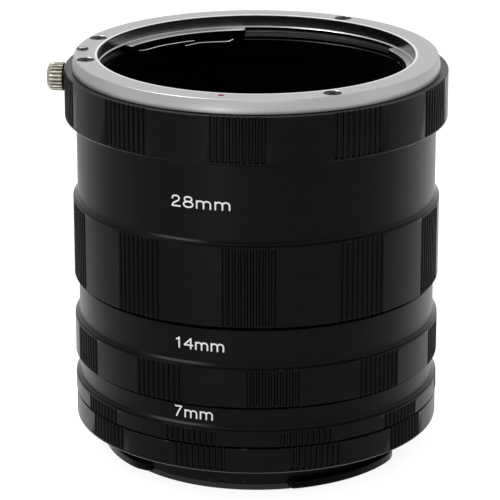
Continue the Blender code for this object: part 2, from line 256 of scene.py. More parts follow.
black = {
    "colour": (0.0074, 0.0074, 0.0076), "roughness": 0.36, "spread": 0.1, "vary": 0.1,
    "pitch": 0.11, "breakUp": 0.5, "lineDepth": 0.5,
    "grain": 0.09, "grainDepth": 0.5, "relief": 0.35,
    "patch": 1.3, "wear": 0.2, "wornColour": (0.09, 0.09, 0.092), "wornRoughness": 0.3,
    "dust": 0.12, "dustColour": (0.2, 0.19, 0.18),
    "dirtAndShade": 0.0, "dirtAndShadeColour": (0.02, 0.018, 0.015),
}
dull = {"roughness": 0.8, "lineDepth": 0.2, "wear": 0.0, "wornColour": (0.004, 0.004, 0.004), "dust": 0.02}
chrome = {
    "colour": (0.41, 0.41, 0.408), "roughness": 0.3, "spread": 0.08, "vary": 0.05,
    "pitch": 0.13, "breakUp": 0.3, "lineDepth": 0.8,
    "grain": 0.07, "grainDepth": 0.15, "relief": 0.25,
    "patch": 2.5, "wear": 0.35, "wornColour": (0.75, 0.74, 0.73), "wornRoughness": 0.22,
    "dust": 0.1, "dustColour": (0.35, 0.34, 0.33),
    "dirtAndShade": 0.0, "dirtAndShadeColour": (0.03, 0.028, 0.025),
}
brass = {
    "colour": (0.52, 0.485, 0.42), "roughness": 0.24, "pitch": 0.1, "lineDepth": 0.3,
    "patch": 0.9, "wornColour": (0.62, 0.59, 0.53), "dustColour": (0.3, 0.27, 0.22),
    "dirtAndShade": 0.9, "dirtAndShadeColour": (0.036, 0.03, 0.022),
}
oxide = {
    **chrome, "colour": (0.035, 0.035, 0.036), "roughness": 0.34, "lineDepth": 0.25,
    "wear": 0.5, "wornColour": (0.2, 0.2, 0.2), "dustColour": (0.2, 0.19, 0.18),
}
steel = {"colour": (0.58, 0.565, 0.545), "roughness": 0.2, "pitch": 0.09, "lineDepth": 0.5}


def shaded(base, colour, **changes):
    # A finish like the base, of another colour and without rubbed edges.
    return {**base, "wear": 0.0, **changes, "colour": colour}


metalLooks = {
    "blackAnodised": black,
    # Matt black for the bores, also used as painted shade in recesses, under the tube bands and on the
    # lower bands of the tabs.
    "mattBlackAndShade": {**black, **dull, "colour": (0.0012, 0.0012, 0.0012)},
    # Thin bevels painted lighter as painted highlight lines, with the lower roughness of handling polish;
    # and a darker black painted as shade where light hardly reaches.
    "rubbedAndHighlightBlack": shaded(black, (0.028, 0.028, 0.029), roughness=0.26),
    "shadePaintedBlack": shaded(black, (0.0034, 0.0034, 0.0035)),
    "glossBlack": shaded(black, (0.0085, 0.0085, 0.0088), roughness=0.16),
    "satinChrome": chrome,
    # The turned side of the plate is rougher than its top and painted a little darker as painted shade; its
    # fine edges are painted bright as painted highlights.
    "shadedSideChrome": shaded(chrome, (0.37, 0.37, 0.368), roughness=0.42),
    "highlightChrome": shaded(chrome, (0.82, 0.82, 0.815), roughness=0.26),
    # The throat's faces are painted darker chrome, and its recess and ledge dimmer steel, as painted shade.
    "shadedThroatChrome": shaded(chrome, (0.33, 0.327, 0.322), roughness=0.24),
    "shadePaintedSteel": shaded(chrome, (0.1, 0.094, 0.088), roughness=0.32),
    "bandSteel": shaded(chrome, (0.36, 0.345, 0.33), roughness=0.32),
    "nickel": {**chrome, **brass},
    "springSteel": {**chrome, **steel},
    "blackOxide": oxide,
    # The screw heads are black oxide, painted darker still as painted shade in their countersinks.
    "screwBlackAndShade": {**oxide, "colour": (0.011, 0.011, 0.0115), "roughness": 0.52, "dust": 0.05},
}
ink = {"colour": (0.95, 0.95, 0.945), "roughness": 0.5, "mottle": 0.25, "vary": 0.06, "sheen": 0.5}
enamel = {"colour": (0.2, 0.001, 0.01), "roughness": 0.6, "mottle": 0.4, "vary": 0.15, "sheen": 0.05}

finishes = {name: metalFinish(name, look) for name, look in metalLooks.items()}
finishes["whiteInk"] = paintFinish("whiteInk", ink)
finishes["redEnamel"] = paintFinish("redEnamel", enamel)
print("finishes ready:", ", ".join(finishes))


# Shaping tools; sizes are in millimetres and angles count from the front, positive to the right

def around(radius, angle, height):
    turn = math.radians(angle - 90.0)
    return Vector((radius * math.cos(turn), radius * math.sin(turn), height))


def plainColumns(start, count):
    return [(start + 360.0 * i / count, 0.0) for i in range(count)]


knurl = {
    "blocks": 10, "grooves": 9, "pitch": 1.84, "depth": 0.35, "landColumns": 5,
    "halfWidth": 0.46, "shoulder": 0.33, "shoulderSink": 0.26, "floor": 0.2,
}


def knurledColumns(radius, firstBlock):
    # Blocks of fine grooves with plain lands between; a column holds its angle and how deep it is cut.
    right = [(knurl["floor"], 1.0), (knurl["shoulder"], knurl["shoulderSink"]), (knurl["halfWidth"], 0.0)]
    groove = [(-across, sink) for across, sink in reversed(right)] + right
    middleGroove = (knurl["grooves"] - 1) / 2
    step = 360.0 / knurl["blocks"]
    half = middleGroove * knurl["pitch"] + math.degrees(knurl["halfWidth"] / radius)
    land = step - 2 * half
    columns = []
    for block in range(knurl["blocks"]):
        middle = firstBlock + block * step
        for i in range(knurl["grooves"]):
            angle = middle + (i - middleGroove) * knurl["pitch"]
            columns += [(angle + math.degrees(across / radius), sink) for across, sink in groove]
        for i in range(1, knurl["landColumns"] + 1):
            columns.append((middle + half + land * i / (knurl["landColumns"] + 1), 0.0))
    return columns


def hoop(shape, row, columns, surface=None):
    # One ring of points; where it is knurled, no point stands outside the groove.
    radius, height = row[:2]
    share = row[2] if len(row) > 2 else 0.0
    points = []
    for angle, sink in columns:
        reach = radius
        if surface and share:
            reach = min(radius, surface - knurl["depth"] * sink * share)
        points.append(shape.verts.new(around(reach, angle, height)))
    return points, [angle for angle, _ in columns]


def join(shape, lower, upper, material):
    # Joins two hoops: quads where their columns match, else a strip of triangles.
    (a, angleA), (b, angleB) = lower, upper
    faces = []
    if angleA == angleB:
        for i in range(len(a)):
            faces.append(shape.faces.new((a[i - 1], a[i], b[i], b[i - 1])))
    else:
        turnA = angleA + [angleA[0] + 360.0]
        turnB = angleB + [angleB[0] + 360.0]
        i = j = 0
        while i < len(a) or j < len(b):
            if i < len(a) and (j >= len(b) or turnA[i + 1] <= turnB[j + 1]):
                faces.append(shape.faces.new((a[i], a[(i + 1) % len(a)], b[j % len(b)])))
                i += 1
            else:
                faces.append(shape.faces.new((a[i % len(a)], b[(j + 1) % len(b)], b[j])))
                j += 1
    for face in faces:
        face.material_index = material
        face.smooth = True


def revolved(sections, materials):
    # A closed turned body. A section is (columns, knurled surface radius or None, finish, rows).
    shape = bmesh.new()
    hoops = []
    for columns, surface, finish, rows in sections:
        for row in rows:
            hoops.append((hoop(shape, row, columns, surface), materials.index(finish)))
    for i in range(len(hoops)):
        join(shape, hoops[i - 1][0], hoops[i][0], hoops[i][1])
    bmesh.ops.recalc_face_normals(shape, faces=shape.faces)
    return shape


def capped(shape, rings, strips=None):
    # Joins stacked rings of points and closes both ends; strips gives a material index for each band.
    strips = strips or [0] * (len(rings) - 1)
    for lower, upper, material in zip(rings, rings[1:], strips):
        for i in range(len(lower)):
            shape.faces.new((lower[i - 1], lower[i], upper[i], upper[i - 1])).material_index = material
    for end, material in ((rings[0], strips[0]), (rings[-1], strips[-1])):
        shape.faces.new(end).material_index = material
    bmesh.ops.recalc_face_normals(shape, faces=shape.faces)


def addStack(shape, outlines, strips=None):
    capped(shape, [[shape.verts.new(point) for point in outline] for outline in outlines], strips)


def circle(radius, height, steps, centre=Vector((0.0, 0.0, 0.0))):
    turns = [math.tau * i / steps for i in range(steps)]
    return [centre + Vector((radius * math.cos(turn), radius * math.sin(turn), height)) for turn in turns]


def spun(profile, steps, centre=Vector((0.0, 0.0, 0.0))):
    # A small upright solid, turned from an open profile about its own centre line.
    shape = bmesh.new()
    addStack(shape, [circle(radius, height, steps, centre) for radius, height in profile])
    return shape


def addObject(name, data):
    thing = bpy.data.objects.new(name, data)
    bpy.context.scene.collection.objects.link(thing)
    return thing


def toMesh(name, shape):
    # Makes a mesh in metres from a shape in millimetres.
    shape.transform(Matrix.Scale(mm, 4))
    mesh = bpy.data.meshes.new(name)
    shape.to_mesh(mesh)
    shape.free()
    return mesh


def smoothed(mesh, crease=35.0):
    mesh.shade_smooth()
    mesh.set_sharp_from_angle(angle=math.radians(crease))


def settle(name, shape, materials, crease=35.0):
    # Makes the object from a shape in millimetres about the optical axis.
    mesh = toMesh(name, shape)
    for material in materials:
        mesh.materials.append(finishes[material])
    smoothed(mesh, crease)
    thing = addObject(name, mesh)
    thing.location = (axisX * mm, 0.0, 0.0)
    return thing


def carved(thing, cutters):
    # Cuts the shapes in millimetres out of the piece and keeps the result as its mesh.
    helpers = [settle(thing.name + "_cutter", shape, []) for shape in cutters]
    for helper in helpers:
        cut = thing.modifiers.new("cut", "BOOLEAN")
        cut.operation = "DIFFERENCE"
        cut.solver = "EXACT"
        cut.object = helper
    bpy.context.view_layer.update()
    graph = bpy.context.evaluated_depsgraph_get()
    mesh = bpy.data.meshes.new_from_object(thing.evaluated_get(graph))
    thing.modifiers.clear()
    thing.data = mesh
    for helper in helpers:
        bpy.data.objects.remove(helper)
    smoothed(mesh)


def absorb(thing, shape):
    # Adds a shape in millimetres to the piece's mesh.
    extra = toMesh("extra", shape)
    whole = bmesh.new()
    whole.from_mesh(thing.data)
    whole.from_mesh(extra)
    whole.to_mesh(thing.data)
    whole.free()
    bpy.data.meshes.remove(extra)
    smoothed(thing.data)


def shift(thing, spot):
    thing.data.transform(Matrix.Translation(Vector(spot) * mm))


# An edge that turns by fullTurn radians or more is worn in full, and one below leastShare not at all.
wearing = {"fullTurn": 0.7, "leastShare": 0.35, "steepest": 0.7}


def markWear(mesh):
    # Gives each convex edge its share of rubbing, which the finishes read. Upright groove edges stay dark.
    shape = bmesh.new()
    shape.from_mesh(mesh)
    values = [0.0] * len(shape.verts)
    for edge in shape.edges:
        run = edge.verts[1].co - edge.verts[0].co
        if len(edge.link_faces) == 2 and edge.is_convex and abs(run.z) < wearing["steepest"] * run.length:
            share = min(1.0, edge.calc_face_angle(0.0) / wearing["fullTurn"])
            if share > wearing["leastShare"]:
                for vert in edge.verts:
                    values[vert.index] = max(values[vert.index], share)
    shape.free()
    mesh.attributes.new("wear", "FLOAT", "POINT").data.foreach_set("value", values)


def finishPiece(thing, body, node=None, worn=True):
    if worn:
        markWear(thing.data)
    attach(thing, body)
    if node:
        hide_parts(node)
    print("made", thing.name, sum(len(p.vertices) - 2 for p in thing.data.polygons), "triangles")


# The turned rings

joint = {
    "boreRadius": 27.2, "threadRadius": 28.4, "socketRadius": 28.6, "socketDepth": 2.8,
    "threadLength": 2.4, "seatGap": 0.2, "threadPitch": 0.75, "threadDepth": 0.2, "trapPitch": 0.8,
    "trapDepth": 0.25,
}


def ridged(radius, start, end, pitch, depth):
    # Rows of a bore or socket with fine ridges, from one height to the other.
    count = max(1, round(abs(end - start) / pitch))
    step = (end - start) / count
    rows = [(radius, start)]
    for i in range(count):
        rows.append((radius + depth, start + step * (i + 0.5)))
        rows.append((radius, start + step * (i + 1.0)))
    return rows


def threadRows(radius, start, end, depth):
    return ridged(radius, start, end, joint["threadPitch"], depth)


def trapRows(start, end):
    # The ridges that keep stray light down in a bore.
    return ridged(joint["boreRadius"], start, end, joint["trapPitch"], joint["trapDepth"])


def spigotRows(shoulder):
    # The threaded spigot above a ring's top face, up to its rim.
    radius, bore, top = joint["threadRadius"], joint["boreRadius"], shoulder + joint["threadLength"]
    rows = [(radius, shoulder)] + threadRows(radius, shoulder + 0.3, top - 0.3, -joint["threadDepth"])
    return rows + [(radius - 0.15, top), (bore + 0.1, top), (bore, top - 0.1)]


def socketRows():
    # The threaded socket at a ring's foot, from its ledge down to the mouth.
    radius, depth = joint["socketRadius"], joint["socketDepth"]
    rows = [(joint["boreRadius"], depth), (radius, depth)]
    rows += threadRows(radius, depth - 0.3, 0.3, joint["threadDepth"])
    return rows + [(radius, 0.1), (radius + 0.1, 0.0)]


tubes = {
    "tube_7mm": {"rise": 10.38, "length": 7.0, "band": 3.05, "knurl": 15.4, "relief": 0.3},
    "tube_14mm": {"rise": 17.38, "length": 14.0, "band": 6.95, "knurl": 5.0, "relief": 0.5},
    "tube_28mm": {"rise": 31.38, "length": 28.0, "band": 14.15, "knurl": -2.3, "relief": 0.3},
}
tubeShape = {"bandRadius": 31.5, "neckRadius": 30.72, "ease": 0.12, "boreColumns": 96, "neckColumns": 160}


def makeTube(name):
    size = tubes[name]
    band, top = size["band"], size["length"] - joint["seatGap"]
    outer, neck, ease = tubeShape["bandRadius"], tubeShape["neckRadius"], tubeShape["ease"]
    base = top - size["relief"]
    cut = knurledColumns(outer, size["knurl"])
    plain = plainColumns(cut[0][0], tubeShape["neckColumns"])
    bore = plainColumns(cut[0][0], tubeShape["boreColumns"])
    knurled = [
        (outer - ease - 0.3, 0.0), (outer - ease, 0.0, 1.0), (outer, ease, 1.0),
        (outer, ease + 0.2, 1.0), (outer, band - 0.85, 1.0), (outer, band - 0.62, 1.0),
        (outer, band - 0.44, 0.0), (outer, band - 0.32),
    ]
    # The shoulder: a slope above the knurl, painted darker as painted shade, a narrow step and a second
    # slope to the neck.
    slope = [(outer - 0.02, band - 0.29), (outer - 0.33, band - 0.05)]
    step = [(outer - 0.35, band - 0.02), (outer - 0.36, band + 0.12)]
    rise = [(outer - 0.39, band + 0.15), (neck + 0.06, band + 0.38)]
    wall = [(neck, band + 0.44), (neck, band + 0.7), (neck, base - 0.3)]
    wall += [(neck, base - 0.1), (neck - 0.08, base)]
    # The relief under the band is painted matt black as painted shade.
    relief = [(neck - 0.45, base + 0.03), (neck - 0.45, top), (neck - 1.5, top)]
    trap = trapRows(top + joint["threadLength"] - 0.4, joint["socketDepth"] + 0.5)
    materials = ["blackAnodised", "mattBlackAndShade", "shadePaintedBlack", "glossBlack"]
    sections = [
        (cut, outer, "blackAnodised", knurled),
        (plain, None, "shadePaintedBlack", slope),
        (plain, None, "blackAnodised", step),
        (plain, None, "glossBlack", rise),
        (plain, None, "blackAnodised", wall),
        (plain, None, "mattBlackAndShade", relief),
        (bore, None, "mattBlackAndShade", spigotRows(top) + trap + socketRows()),
    ]
    ring = settle(name + "_fine", revolved(sections, materials), materials)
    shift(ring, (0.0, 0.0, size["rise"]))
    finishPiece(ring, name, name)


def lug(root, tip, span, height, nose, taper, cornerSteps=6, taperTurn=10.0):
    # Outline of a claw or tab with rounded corners; the taper draws its wall in near the end of its span.
    start, end = span
    turnIn = math.degrees(nose / tip)
    bend = math.copysign(nose, root - tip)
    corner = []
    for i in range(cornerSteps + 1):
        swing = math.pi / 2 * i / cornerSteps
        corner.append((bend * (1.0 - math.sin(swing)), turnIn * (1.0 - math.cos(swing))))
    outline = [around(root, start, height)]
    outline += [around(tip + inward, start + turn, height) for inward, turn in corner]
    inside = end - start - 2 * turnIn
    count = max(4, round(inside / 2.5))
    for i in range(1, count):
        angle = start + turnIn + inside * i / count
        share = max(0.0, 1.0 - (end - angle) / taperTurn)
        outline.append(around(tip - taper * share * share, angle, height))
    outline += [around(tip - taper + inward, end - turn, height) for inward, turn in reversed(corner)]
    for i in range(count + 1):
        outline.append(around(root, end + (start - end) * i / (count + 1), height))
    return outline


def addLugs(shape, spans, root, layers, nose, strips, taper=0.0):
    # Claws or tabs; a layer holds its tip radius, its height and how far its ends are drawn in.
    for start, end in spans:
        outlines = []
        for tip, height, inset in layers:
            outlines.append(lug(root, tip, (start + inset, end - inset), height, nose, taper))
        addStack(shape, outlines, strips)


cameraRing = {
    "collarRadius": 25.2, "collarBore": 23.8, "collarDepth": 5.7, "lip": 1.35, "rimRadius": 31.4,
    "rimTop": 10.18, "knurl": 18.3, "chamfer": 0.15, "clawRadius": 26.65, "clawRise": 0.6,
    "clawThickness": 1.4, "clawNose": 0.9, "clawTaper": 0.5,
    "clawSpans": ((12.3, 66.0), (134.0, 190.0), (257.7, 314.7)),
}


def makeCameraRing():
    size = cameraRing
    depth, top, outer, chamfer = size["collarDepth"], size["rimTop"], size["rimRadius"], size["chamfer"]
    collar, hole, bevelTop = size["collarRadius"], size["collarBore"], depth + chamfer
    cut = knurledColumns(outer, size["knurl"])
    plain = plainColumns(cut[0][0], tubeShape["neckColumns"])
    bore = plainColumns(cut[0][0], tubeShape["boreColumns"])
    under = [(hole + 0.1, 0.0), (collar - 0.35, 0.0), (collar - 0.2, 0.15)]
    lip = [(collar - 0.2, 0.35), (collar - 0.2, size["lip"] - 0.3)]
    wall = [(collar - 0.2, size["lip"]), (collar, size["lip"] + 0.15), (collar, depth - 0.15)]
    flange = [(collar + 0.15, depth), (outer - chamfer - 0.8, depth)]
    foot = [(outer - chamfer - 0.25, depth), (outer - chamfer, depth)]
    knurled = [
        (outer, bevelTop + 0.12), (outer, depth + 0.36, 0.0), (outer, depth + 0.54, 1.0),
        (outer, top - 0.5, 1.0), (outer, top - 0.24, 1.0), (outer - 0.1, top - 0.14, 1.0),
    ]
    trap = trapRows(top + joint["threadLength"] - 0.4, depth + 1.6)
    well = [(joint["boreRadius"], depth + 1.2), (hole + 0.2, depth - 0.45)]
    well += [(hole, depth - 0.65), (hole, 0.1)]
    materials = ["blackAnodised", "mattBlackAndShade", "rubbedAndHighlightBlack", "shadePaintedBlack"]
    sections = [
        (plain, None, "blackAnodised", under),
        # The lip and the foot bevel are painted lighter as painted highlight lines.
        (plain, None, "rubbedAndHighlightBlack", lip),
        (plain, None, "blackAnodised", wall + flange),
        (cut, outer, "blackAnodised", foot),
        (cut, outer, "rubbedAndHighlightBlack", [(outer, bevelTop)]),
        (cut, outer, "blackAnodised", knurled),
        (plain, None, "mattBlackAndShade", [(outer - 0.5, top - 0.1), (outer - 0.6, top)]),
        (bore, None, "mattBlackAndShade", [(outer - 1.5, top)] + spigotRows(top) + trap + well),
    ]
    ring = settle("camera_ring_fine", revolved(sections, materials), materials)
    claws = bmesh.new()
    tip, low, high = size["clawRadius"], size["clawRise"], size["clawRise"] + size["clawThickness"]
    layers = (
        (tip - 0.12, low, 0.2), (tip, low + 0.12, 0), (tip, low + 0.3, 0),
        (tip, high - 0.1, 0), (tip - 0.1, high, 0.2),
    )
    tones = [2, 0, 3, 3]  # from the foot up: a band painted lighter as a painted highlight, plain, and two bands painted darker as the flange's shadow
    addLugs(claws, size["clawSpans"], collar - 0.5, layers, size["clawNose"], tones, size["clawTaper"])
    absorb(ring, claws)
    finishPiece(ring, "camera_ring", "camera_ring")


housing = {
    "rise": 59.38, "radius": 32.65, "height": 8.05, "seat": 8.04, "seatOuter": 31.5,
    "seatInner": 28.3, "ledge": 5.6, "knurl": -5.4, "chamfer": 0.15, "columns": 128,
}
lock = {
    "angle": 265.0, "circle": 29.75, "pocketRadius": 1.1, "pocketFloor": 0.8, "knobHeight": 5.54,
    "travel": 1.0, "slotHalf": 0.8, "pinRadius": 0.95, "pinFoot": 4.2, "pinTop": 10.9,
}
screw = {
    "angles": (148.0, 249.6, 279.8, 24.8), "circle": 29.15, "head": 1.52, "shank": 0.6,
    "foot": 3.85, "top": 10.45, "play": 0.1, "mouth": 1.6, "lip": 0.07, "arm": 0.2, "reach": 0.8,
    "recess": 0.6,
}


def screwCutters(profile, steps):
    return [spun(profile, steps, around(screw["circle"], angle, 0.0)) for angle in screw["angles"]]


def pinCutter(profile, steps):
    return spun(profile, steps, around(lock["circle"], lock["angle"], 0.0))


def sideCutter(start, end, half, upper, lower, steps, phase=0.0):
    # A hole that runs outward at the lock's angle, drawn out into a slot between its two levels.
    outlines = []
    for reach in (start, end):
        outline = []
        for i in range(steps):
            turn = math.tau * (i + phase) / steps
            level = upper if math.sin(turn) > 0 else lower
            side = around(half * math.cos(turn), lock["angle"] + 90.0, 0.0)
            outline.append(around(reach, lock["angle"], level + half * math.sin(turn)) + side)
        outlines.append(outline)
    shape = bmesh.new()
    addStack(shape, outlines)
    return shape


def makeHousing():
    size = housing
    outer, chamfer, height, seat = size["radius"], size["chamfer"], size["height"], size["seat"]
    inner, bore, ledge, groove = size["seatInner"], joint["boreRadius"], size["ledge"], knurl["depth"]
    cut = knurledColumns(outer, size["knurl"])
    plain = plainColumns(cut[0][0], size["columns"])
    slope = (height - seat) / (outer - size["seatOuter"])
    knurled = [
        (outer, chamfer + 0.12), (outer, 0.34, 0.0), (outer, 0.52, 1.0),
        (outer, height - 0.3, 1.0), (outer, height - 0.05, 1.0), (outer - 0.05, height, 1.0),
        (outer - groove, height - slope * groove, 1.0),
        (outer - groove - 0.2, height - slope * (groove + 0.2)),
    ]
    seatFace = [(size["seatOuter"], seat), (inner + 0.1, seat), (inner, seat - 0.1)]
    step = [(inner, ledge), (bore + 0.1, ledge), (bore, ledge - 0.1)]
    trap = trapRows(ledge - 0.3, joint["socketDepth"] + 0.3)
    materials = ["blackAnodised", "mattBlackAndShade", "rubbedAndHighlightBlack"]
    sections = [
        (cut, outer, "blackAnodised", [(outer - chamfer - 0.3, 0.0), (outer - chamfer, 0.0)]),
        # The foot bevel is painted lighter as a painted highlight line.
        (cut, outer, "rubbedAndHighlightBlack", [(outer, chamfer)]),
        (cut, outer, "blackAnodised", knurled),
        (plain, None, "blackAnodised", seatFace),
        (plain, None, "mattBlackAndShade", step + trap + socketRows()),
    ]
    ring = settle("lens_ring_housing_fine", revolved(sections, materials), materials)
    neck, pocket, above = screw["shank"] + screw["play"], lock["pocketRadius"], seat + 1.0
    cutters = screwCutters(((neck, screw["foot"] - 0.5), (neck, above)), steps=20)
    cutters.append(pinCutter(((pocket, lock["pocketFloor"]), (pocket, above)), steps=32))
    half, upper = lock["slotHalf"], lock["knobHeight"] + 0.1
    lower = lock["knobHeight"] - lock["travel"] - 0.1
    cutters.append(sideCutter(lock["circle"], outer + 0.5, half, upper, lower, steps=24, phase=0.5))
    carved(ring, cutters)
    shift(ring, (0.0, 0.0, size["rise"]))
    finishPiece(ring, "lens_ring", "lens_ring_housing")


# The bayonet plate, its screws and the index dot

plate = {
    "throat": 27.0, "radius": 31.25, "back": 8.1, "top": 10.5, "wall": 2.05, "skirtRadius": 28.1,
    "skirtBore": 27.5, "skirtFoot": 5.8, "tabRadius": 25.4, "tabThickness": 1.5, "tabNose": 0.5,
    "tabSpans": ((62.0, 116.3), (184.2, 238.8), (305.0, 357.0)), "columns": 240, "pinHole": 1.05,
    "indexAngle": -11.6, "indexCircle": 28.4, "indexRadius": 0.55, "indexDepth": 0.25,
    "firstColumn": 0.7, "indexSteps": 5,
}


def plateSections():
    # The turned profile from the recess behind the tabs, over the top and round to the skirt's inside.
    size = plate
    top, back, outer, throat = size["top"], size["back"], size["radius"], size["throat"]
    bore, skirt, foot = size["skirtBore"], size["skirtRadius"], size["skirtFoot"]
    wallFoot = top - size["wall"]
    recess = [(bore, wallFoot - 1.1), (bore, wallFoot - 0.76)]
    under = [(bore, wallFoot - 0.7), (bore, wallFoot - 0.45), (throat + 0.1, wallFoot - 0.35)]
    wall = [(throat - 0.13, wallFoot - 0.3), (throat - 0.15, wallFoot - 0.14)]
    lip = [(throat - 0.03, wallFoot), (throat + 0.05, wallFoot + 0.04)]
    face = [(throat + 0.07, wallFoot + 0.3), (throat + 0.07, top - 0.62)]
    face += [(throat, top - 0.33), (throat, top - 0.12)]
    rim = [(throat + 0.01, top - 0.03), (throat + 0.05, top), (throat + 0.4, top)]
    flat = [(throat + 0.6, top), (outer - 0.72, top), (outer - 0.51, top)]
    edge = [(outer - 0.46, top - 0.01), (outer - 0.35, top - 0.1)]
    side = [
        (outer - 0.33, top - 0.14), (outer - 0.24, top - 0.45), (outer - 0.14, top - 0.85),
        (outer - 0.05, top - 1.25), (outer, top - 1.6), (outer, back + 0.35),
        (outer - 0.01, back + 0.06), (outer - 0.06, back), (outer - 0.5, back), (skirt + 0.1, back),
    ]
    shell = [(skirt, back - 0.1), (skirt, foot + 0.1), (skirt - 0.1, foot)]
    shell += [(bore, foot), (bore - 0.08, foot + 0.05)]
    shade = [(bore, wallFoot - 2.07), (bore - 0.15, wallFoot - 2.0), (bore - 0.2, wallFoot - 1.95)]
    ledge = [(bore - 0.16, wallFoot - 1.23), (bore - 0.02, wallFoot - 1.15)]
    # Inside the throat the faces are darker chrome, the recess and ledge dark steel and the underside and
    # shade rows matt black, all painted shade; the rim at the throat and the hem at the skirt's foot are
    # painted highlights, and the side is a little darker as painted shade.
    rows = (
        ("shadePaintedSteel", recess), ("mattBlackAndShade", under), ("shadedThroatChrome", wall), ("satinChrome", lip),
        ("shadedThroatChrome", face), ("highlightChrome", rim), ("satinChrome", flat + edge), ("shadedSideChrome", side),
        ("mattBlackAndShade", shell), ("rubbedAndHighlightBlack", [(bore, foot + 0.16)]), ("mattBlackAndShade", shade),
        ("bandSteel", [(bore - 0.2, wallFoot - 1.28)]), ("shadePaintedSteel", ledge),
    )
    columns = plainColumns(size["firstColumn"], size["columns"])
    return [(columns, None, finish, points) for finish, points in rows]


def makePlate():
    size = plate
    top, back, hole, index = size["top"], size["back"], size["pinHole"], size["indexRadius"]
    materials = ["satinChrome", "shadedThroatChrome", "mattBlackAndShade", "shadePaintedSteel", "highlightChrome", "shadedSideChrome"]
    materials += ["rubbedAndHighlightBlack", "bandSteel"]
    body = settle("bayonet_plate_fine", revolved(plateSections(), materials), materials)
    neck, mouth = screw["shank"] + screw["play"], screw["mouth"]
    countersink = ((neck, back - 1.0), (neck, top - (mouth - neck)), (mouth, top), (mouth + 0.3, top + 0.3))
    cutters = screwCutters(countersink, steps=40)
    cutters.append(pinCutter(((hole, back - 1.0), (hole, top - 0.06), (hole + 0.16, top + 0.1)), steps=40))
    dimple = []
    for i in range(size["indexSteps"] + 1):
        swing = math.pi / 2 * i / size["indexSteps"]
        dimple.append((0.02 + (index - 0.02) * math.sin(swing), top - size["indexDepth"] * math.cos(swing)))
    dimple.append((index, top + 0.3))
    cutters.append(spun(dimple, 28, around(size["indexCircle"], size["indexAngle"], 0.0)))
    carved(body, cutters)
    tabs = bmesh.new()
    tip, wallFoot = size["tabRadius"], top - size["wall"]
    foot = wallFoot - size["tabThickness"]
    layers = (
        (tip + 0.08, foot, 0), (tip, foot + 0.1, 0), (tip, wallFoot - 0.34, 0),
        (tip + 0.1, wallFoot - 0.18, 0), (tip + 0.24, wallFoot - 0.15, 0),
        (size["throat"] - 0.1, wallFoot - 0.08, 0),
    )
    # The lower two bands of each tab are painted matt black as painted shade; the rest is bright chrome.
    addLugs(tabs, size["tabSpans"], size["skirtBore"] + 0.3, layers, size["tabNose"], [2, 2, 0, 0, 0])
    absorb(body, tabs)
    shift(body, (0.0, 0.0, housing["rise"]))
    finishPiece(body, "lens_ring", "bayonet_plate")


def makeIndexDot():
    level, reach = housing["rise"] + plate["top"], plate["indexRadius"]
    profile = [(reach * 0.9, level - 0.12), (reach * 0.98, level - 0.03)]
    profile += [(reach * 0.7, level - 0.005), (0.02, level)]
    shape = spun(profile, 28, around(plate["indexCircle"], plate["indexAngle"], 0.0))
    finishPiece(settle("index_dot", shape, ["redEnamel"], crease=60.0), "lens_ring", worn=False)


def crossCutter(turn):
    # One arm of the recess that a cross-head driver fits.
    size = screw
    levels = (
        (size["top"] - size["recess"], size["reach"] * 0.45, size["arm"] * 0.5),
        (size["top"] + 0.05, size["reach"], size["arm"]),
    )
    rings = []
    for height, reach, arm in levels:
        corners = ((reach, arm), (-reach, arm), (-reach, -arm), (reach, -arm))
        rings.append([(x, y, height) for x, y in corners])
    shape = bmesh.new()
    addStack(shape, rings)
    shape.transform(Matrix.Rotation(math.radians(turn), 4, "Z"))
    return shape


def makeScrews():
    size = screw
    head, shank, foot, top = size["head"], size["shank"], size["foot"], size["top"]
    profile = [
        (0.3, foot), (shank, foot + 0.3), (shank, top - (head - shank) - 0.08), (head, top - 0.1),
        (head - 0.02, top), (head - 0.12, top), (head - 0.2, top - size["lip"]),
    ]
    for number, angle in enumerate(size["angles"], 1):
        body = settle(f"plate_screw_{number}_fine", spun(profile, steps=32), ["screwBlackAndShade"])
        turn = 17.0 + 31.0 * number  # no two recesses point the same way
        carved(body, [crossCutter(turn), crossCutter(turn + 90.0)])
        shift(body, around(size["circle"], angle, housing["rise"]))
        finishPiece(body, "lens_ring", f"plate_screw_{number}", worn=False)


# The lens lock: pin, coil spring and release knob

knob = {
    "inner": 3.2, "outer": 6.05, "radius": 2.5, "flutes": 22,
    "fluteShape": (0.0, 0.35, 0.9, 1.0, 0.9, 0.35), "fluteDepth": 0.2, "neck": 1.7, "stem": 0.65,
    "tip": 0.45, "endDirt": 0.55,
}
pinDirt = {"below": 0.1, "side": 1.0, "top": 0.25}


def makeLockPin():
    radius, foot, top = lock["pinRadius"], lock["pinFoot"], lock["pinTop"]
    profile = [
        (radius - 0.1, foot), (radius, foot + 0.1), (radius, top - 1.2), (radius, top - 0.35),
        (radius - 0.05, top - 0.18), (radius - 0.15, top - 0.06), (radius - 0.32, top),
        (radius - 0.55, top), (0.1, top - 0.015),
    ]
    body = settle("lock_pin_fine", spun(profile, steps=48), ["nickel"])
    level = lock["knobHeight"]
    carved(body, [sideCutter(-0.1, radius + 0.5, knob["tip"] + 0.1, level, level, steps=20)])
    # The pin's side is painted darker where it stands in the plate, as painted shade with a little grime,
    # and its top less so.
    dirtAndShadeLayer = body.data.attributes.new("dirtAndShade", "FLOAT", "POINT")
    for vert in body.data.vertices:
        onSide = vert.co.z / mm < top - pinDirt["below"]
        dirtAndShadeLayer.data[vert.index].value = pinDirt["side" if onSide else "top"]
    shift(body, around(lock["circle"], lock["angle"], housing["rise"]))
    finishPiece(body, "lens_lock", "lock_pin")


coil = {
    "radius": 0.7, "wire": 0.12, "turns": 5.0, "closed": 0.8,
    "foot": 0.97, "top": 4.03, "steps": 20, "sides": 8,
}


